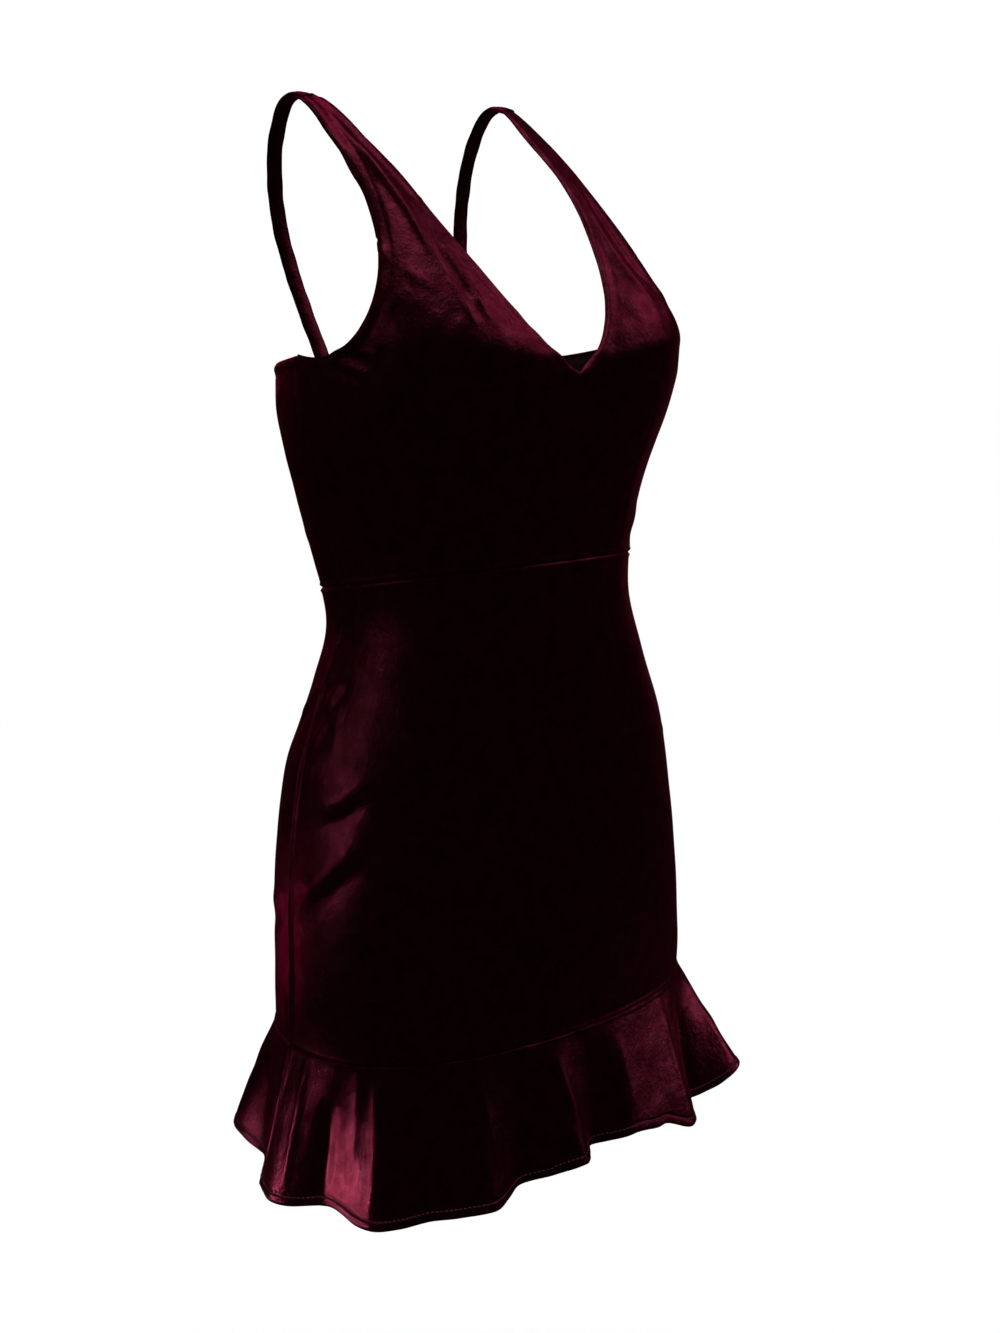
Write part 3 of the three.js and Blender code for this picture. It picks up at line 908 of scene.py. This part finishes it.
def wave_at(turn):
    """Each column of the wave table at a turn, eased from row to row."""
    first = WAVES[0].turn
    angle = (np.degrees(turn) - first) % 360 + first
    rows = [*WAVES, WAVES[0]._replace(turn=first + 360)]
    turns = np.array([wave.turn for wave in rows])
    low = np.clip(np.searchsorted(turns, angle, side="right") - 1, 0, len(turns) - 2)
    share = (angle - turns[low]) / (turns[low + 1] - turns[low])
    eased = (1 - np.cos(np.pi * share)) / 2
    table = np.array(rows, float)
    return Wave(*mix(table[low], table[low + 1], eased[..., None]).T)


def flounce_grid(rows, turns):
    """The flounce from its seam, where it laps the skirt a little, down to its hem."""
    level = np.full_like(turns, FLOUNCE_LEVEL)
    top = on_ring(level, turns)
    step = 0.01
    along = on_ring(level, turns + step) - on_ring(level, turns - step)
    along = unit(along * np.array([1, 1, 0]))
    out = np.stack([along[:, 1], -along[:, 0], 0 * turns], axis=1)
    wave = wave_at(turns)
    hang = np.sqrt(FLOUNCE_DEEP ** 2 - wave.out ** 2) - wave.lift
    share = rows[:, None, None]
    grid = top + out * wave.out[:, None] * share + along * wave.lean[:, None] * share ** 2
    grid[..., 2] -= hang * rows[:, None] - FLOUNCE_RAISE
    return grid


def flounce_fold(high, wide, *path):
    """A crease of the flounce, given as turns in degrees and shares of its depth."""
    turns = np.radians([turn for turn, _ in path])
    shares = np.array([share for _, share in path], float)
    places = np.arange(len(path))
    return Fold(high, wide, flounce_grid(shares, turns)[places, places])


# Sharp lines and hollows of the flounce's waves: the right side's as they show, the others
# alike.
FLOUNCE_FRONT_FOLDS = [
    flounce_fold(1.8, 3.5, (-84, -0.1), (-83, 0.5), (-82, 1.0)),
    flounce_fold(-4.5, 6.0, (-72, 0.25), (-71.5, 0.6), (-71, 1.05)),
    flounce_fold(1.6, 4.0, (-56, 0.0), (-54.5, 0.5), (-53.5, 1.05)),
    flounce_fold(1.0, 3.5, (-62, 0.0), (-61.5, 0.35), (-61.5, 0.7)),
    flounce_fold(-1.0, 5.0, (-46, 0.1), (-46, 0.6), (-46.5, 1.0)),
    flounce_fold(1.0, 4.0, (-40, 0.05), (-41, 0.45), (-42, 0.9)),
    flounce_fold(1.0, 4.0, (-27, 0.0), (-24, 0.5), (-22, 1.0)),
    flounce_fold(1.0, 4.5, (-6, 0.0), (-3, 0.5), (-1, 1.0)),
    flounce_fold(0.9, 4.5, (13, 0.1), (14, 0.6), (15, 1.0)),
    flounce_fold(1.2, 4.5, (33, 0.0), (34, 0.5), (35, 1.0)),
    flounce_fold(-3.0, 6.0, (50, 0.1), (50.5, 0.6), (51, 1.05)),
    flounce_fold(1.4, 4.5, (61, 0.0), (62, 0.5), (62.5, 1.0)),
]
FLOUNCE_BACK_FOLDS = [
    flounce_fold(1.3, 4.5, (-104, 0.1), (-103, 0.6), (-102, 1.0)),
    flounce_fold(1.4, 4.5, (-121, 0.0), (-119, 0.5), (-118, 1.0)),
    flounce_fold(-2.4, 6.0, (-137, 0.15), (-138, 0.6), (-139, 1.05)),
    flounce_fold(1.3, 4.5, (-157, 0.0), (-156, 0.5), (-154, 1.0)),
    flounce_fold(1.3, 4.5, (174, 0.0), (173, 0.5), (171, 1.0)),
    flounce_fold(-2.2, 6.0, (154, 0.2), (155, 0.6), (155, 1.05)),
    flounce_fold(1.4, 4.5, (140, 0.0), (138, 0.5), (137, 1.0)),
    flounce_fold(1.2, 4.5, (106, 0.0), (104, 0.5), (103, 1.0)),
]


def flounce(node, back, seed):
    """Makes half the flounce and returns its grid, which the hem's stitches follow."""
    rows = fine_shares(84, [0, 1], spread=0.06, closer=3.5)
    columns = fine_shares(330, [0, 1], spread=0.01, closer=2.5)
    half = float(seam_turn(FLOUNCE_LEVEL))
    start, end = (half, 2 * np.pi - half) if back else (-half, half)
    grid = flounce_grid(rows, even_turns(FLOUNCE_LEVEL, start, end, columns))
    down, up, side, along = edge_distances(grid)
    height = profile(down, SEAM_EDGE) + hem_profile(up) + profile(side, SEAM_EDGE)
    height += pucker(down, along, size=0.5, seed=seed)
    height += pucker(up, along, size=0.45, seed=seed + 2)
    height += crush(grid, size=0.25, scale=30, seed=seed)
    folds = FLOUNCE_BACK_FOLDS if back else FLOUNCE_FRONT_FOLDS
    grid = lift(press(grid, folds), height)
    grid_piece(node, grid)
    return grid


def strap_section(run, hand):
    """Half sizes round the strap along its run: a crease, an uneven twist and ripples."""
    angles = np.linspace(0, 2 * np.pi, STRAP["around"], endpoint=False)
    groove = 1 - 0.16 * bell(angles, 4.4, 0.35)
    twist = 0.16 * np.sin(run / 37 + hand) + 0.08 * np.sin(run / 11)
    ripple = 1 + 0.03 * np.sin(run / 5.3 + 3 * np.sin(angles + hand))
    ripple += 0.02 * np.sin(run / 2.9 + 2 * angles)
    sides = (STRAP["wide"] / 2) * np.cos(angles + twist) * groove * ripple
    depth = (STRAP["thick"] / 2) * np.sin(angles + twist) * groove * ripple
    return sides[..., None], depth[..., None]


def strap(node, hand):
    """A rolled strap as an open-ended tube, creased along its length."""
    table = np.array(STRAP_PATH, float) * np.array([hand, -1, -1])
    at = np.linspace(0, len(STRAP_PATH) - 1, STRAP["steps"] + 1)
    middle = smooth(np.arange(len(table)), table, at)
    along = unit(np.gradient(middle, axis=0))
    wide = unit(np.array([1.0, 0, 0]) - along * along[:, :1])
    thick = np.cross(along, wide)
    sides, depth = strap_section(grid_lengths(middle[:, None], 0), hand)
    tube = middle[:, None] + wide[:, None] * sides + thick[:, None] * depth
    quads = grid_quads(len(tube), STRAP["around"], closed=True)[:, ::-1]
    piece = cloth_piece("velvet_" + node, tube.reshape(-1, 3), quads, STRAP["wall"])
    declare(piece, node)


# The hem's stitches: their length, pitch and thickness, how far up from the edge they
# lie, the steps round the thread, and how far the first lies from the side seam. Then,
# along each stitch, how high its thread arches and how full it is, and the row of the
# flounce whose normals it follows.
STITCH = {"long": 2.6, "pitch": 3.4, "thick": 0.5, "up": 6.8, "around": 6, "inset": 2}
STITCH_ARCH = np.array([-0.25, 0.12, 0.2, 0.12, -0.25])
STITCH_FULL = np.array([0.3, 1, 1, 1, 0.3])
STITCH_ROW = -8


def stitch_line(grid):
    """Points along a flounce at the height of its stitches."""
    upward = grid[::-1]
    up = grid_lengths(upward, 0)
    nearest = np.abs(up - STITCH["up"]).argmin(0)
    return upward[nearest, np.arange(grid.shape[1])]


def read_along(run, values, spots):
    """Values along a line of points, read at other spots on it."""
    return np.stack([np.interp(spots, run, column) for column in values.T], axis=1)


def stitch(line, normal):
    """The skin of one short thread that lies in the hem's groove."""
    line = line + normal * STITCH_ARCH[:, None]
    sideways = np.cross(unit(np.gradient(line, axis=0)), normal)
    width = STITCH["thick"] / 2 * STITCH_FULL[:, None, None]
    angles = np.linspace(0, 2 * np.pi, STITCH["around"], endpoint=False)[None, :, None]
    return (
        line[:, None]
        + normal[:, None] * (np.cos(angles) * width)
        + sideways[:, None] * (np.sin(angles) * width)
    )


def stitches(grids):
    """The hem's row of small stitches."""
    rings = []
    for grid in grids:
        row = stitch_line(grid)
        normals = grid_normals(grid)[STITCH_ROW]
        run = grid_lengths(row[:, None], 0)[:, 0]
        last = run[-1] - STITCH["long"] - 1
        for start in np.arange(STITCH["inset"], last, STITCH["pitch"]):
            spots = start + np.linspace(0, STITCH["long"], len(STITCH_ARCH))
            line = read_along(run, row, spots)
            rings.append(stitch(line, unit(read_along(run, normals, spots))))
    points = np.concatenate([ring.reshape(-1, 3) for ring in rings])
    quads = grid_quads(len(STITCH_ARCH), STITCH["around"], closed=True)
    size = len(STITCH_ARCH) * STITCH["around"]
    faces = np.concatenate([quads + k * size for k in range(len(rings))])
    piece = make_mesh("hem_stitches", points, faces)
    piece.data.materials.append(THREAD)
    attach(piece, "root")


# The camera in metres and degrees, with its lens and sensor height in millimetres.
CAMERA = {
    "place": (-0.8028, -1.1241, -0.1313),
    "pitch": 12.32,
    "turn": -38.37,
    "lens": 31.78,
    "sensor": 24,
    "far": 200,
}
FLOOR_LEVEL = -1.313
FLOOR_REACH = 30
ROOM = {"pale": 1.03, "dark": 0.006}


def camera():
    data = bpy.data.cameras.new("camera")
    data.sensor_fit = "VERTICAL"
    data.sensor_height = CAMERA["sensor"]
    data.lens = CAMERA["lens"]
    data.clip_end = CAMERA["far"]
    eye = bpy.data.objects.new("camera", data)
    eye.location = CAMERA["place"]
    eye.rotation_euler = (math.radians(90 - CAMERA["pitch"]), 0, math.radians(CAMERA["turn"]))
    bpy.context.scene.collection.objects.link(eye)
    bpy.context.scene.camera = eye
    bpy.context.scene.view_settings.view_transform = "Standard"


def floor():
    """A wide pale floor under the dress, which its gloss doesn't mirror."""
    sides = np.array([(-1, -1, 0), (1, -1, 0), (1, 1, 0), (-1, 1, 0)], float)
    corners = (sides * FLOOR_REACH + np.array([0, 0, FLOOR_LEVEL])) / MM
    piece = make_mesh("floor", corners, np.array([[0, 1, 2, 3]]))
    pale = toned_surface("pale_floor", scale=0.8, detail=2, stops=[
        (0.3, (0.965, 0.965, 0.965)),
        (0.7, (0.975, 0.975, 0.975)),
    ])
    set_inputs(pale.shader, {"Roughness": 1.0, "Specular IOR Level": 0.0})
    piece.data.materials.append(pale.material)
    piece.visible_glossy = False
    piece.visible_diffuse = False


def background(nodes, strength):
    node = nodes.new("ShaderNodeBackground")
    set_inputs(node, {"Color": (1, 1, 1, 1), "Strength": strength})
    return node.outputs["Background"]


def world():
    """A pale surround for the eye and the floor, and a dark room for the pile's gloss."""
    made = bpy.data.worlds.new("studio")
    bpy.context.scene.world = made
    made.use_nodes = True
    nodes, links = made.node_tree.nodes, made.node_tree.links
    nodes.clear()
    output = nodes.new("ShaderNodeOutputWorld")
    path = nodes.new("ShaderNodeLightPath")
    choose = nodes.new("ShaderNodeMixShader")
    links.new(path.outputs["Is Glossy Ray"], choose.inputs["Fac"])
    links.new(background(nodes, ROOM["pale"]), choose.inputs[1])
    links.new(background(nodes, ROOM["dark"]), choose.inputs[2])
    links.new(choose.outputs["Shader"], output.inputs["Surface"])


# Softboxes: where each stands, what it looks at, its size in metres, its power in watts and
# its beam in degrees. The narrow beams light one part each, such as the near hip's ridges.
Softbox = namedtuple("Softbox", "name place target wide high power beam")
SOFTBOXES = [
    Softbox("key", (1.22, -0.33, 0.98), (0, -0.1, -0.15), 1.0, 0.9, 1.0, 180),
    Softbox("top_back", (0.35, 1.0, 1.5), (0, -0.05, -0.1), 0.9, 0.9, 1.2, 180),
    Softbox("top", (0.0, -0.05, 1.7), (0, -0.1, -0.1), 0.8, 0.8, 1.0, 180),
    Softbox("near_high", (-1.5, 0.31, 0.58), (-0.15, -0.05, -0.4), 0.3, 0.2, 0.16, 180),
    Softbox("near_hip", (-1.8, 0.3, -0.08), (-0.18, -0.02, -0.45), 0.3, 0.2, 0.0012, 10),
    Softbox("near_ridge", (-1.75, 0.33, -0.30), (-0.165, -0.11, -0.535), 0.25, 0.15, 0.0014, 6),
    Softbox("near_low", (-1.08, 0.29, -0.88), (-0.145, -0.165, -0.77), 0.18, 0.1, 0.0055, 9.5),
    Softbox("far_low", (1.02, -0.63, -0.65), (0.19, -0.13, -0.75), 0.25, 0.12, 0.0045, 14),
    Softbox("back_low", (-0.50, 0.91, -0.995), (-0.2, 0.03, -0.63), 0.15, 0.08, 0.0004, 7),
    Softbox("far_edge", (1.75, 0.7, -0.5), (0.1, -0.1, -0.3), 0.5, 0.8, 0.06, 180),
    Softbox("back_fill", (0.1, 2.2, 0.2), (0, -0.1, -0.4), 1.2, 1.2, 0.5, 180),
]


def light(box):
    """A lamp that lights the dress and isn't seen itself."""
    data = bpy.data.lights.new(box.name, "AREA")
    data.shape = "RECTANGLE"
    data.size = box.wide
    data.size_y = box.high
    data.energy = box.power
    data.spread = math.radians(box.beam)
    lamp = bpy.data.objects.new(box.name, data)
    place = np.array(box.place)
    lamp.location = place
    lamp.visible_camera = False
    x, y, z = np.array(box.target) - place
    lamp.rotation_euler = (math.atan2(math.hypot(x, y), -z), 0, math.atan2(y, x) - math.pi / 2)
    bpy.context.scene.collection.objects.link(lamp)


camera()
front_bodice()
back_bodice()
strap("strap_right", RIGHT)
strap("strap_left", LEFT)
skirt("skirt_front", back=False, folds=SKIRT_FRONT_FOLDS, seed=3)
skirt("skirt_back", back=True, folds=SKIRT_BACK_FOLDS, seed=4)
front_flounce = flounce("flounce_front", back=False, seed=5)
back_flounce = flounce("flounce_back", back=True, seed=6)
stitches([front_flounce, back_flounce])
floor()
world()
for softbox in SOFTBOXES:
    light(softbox)
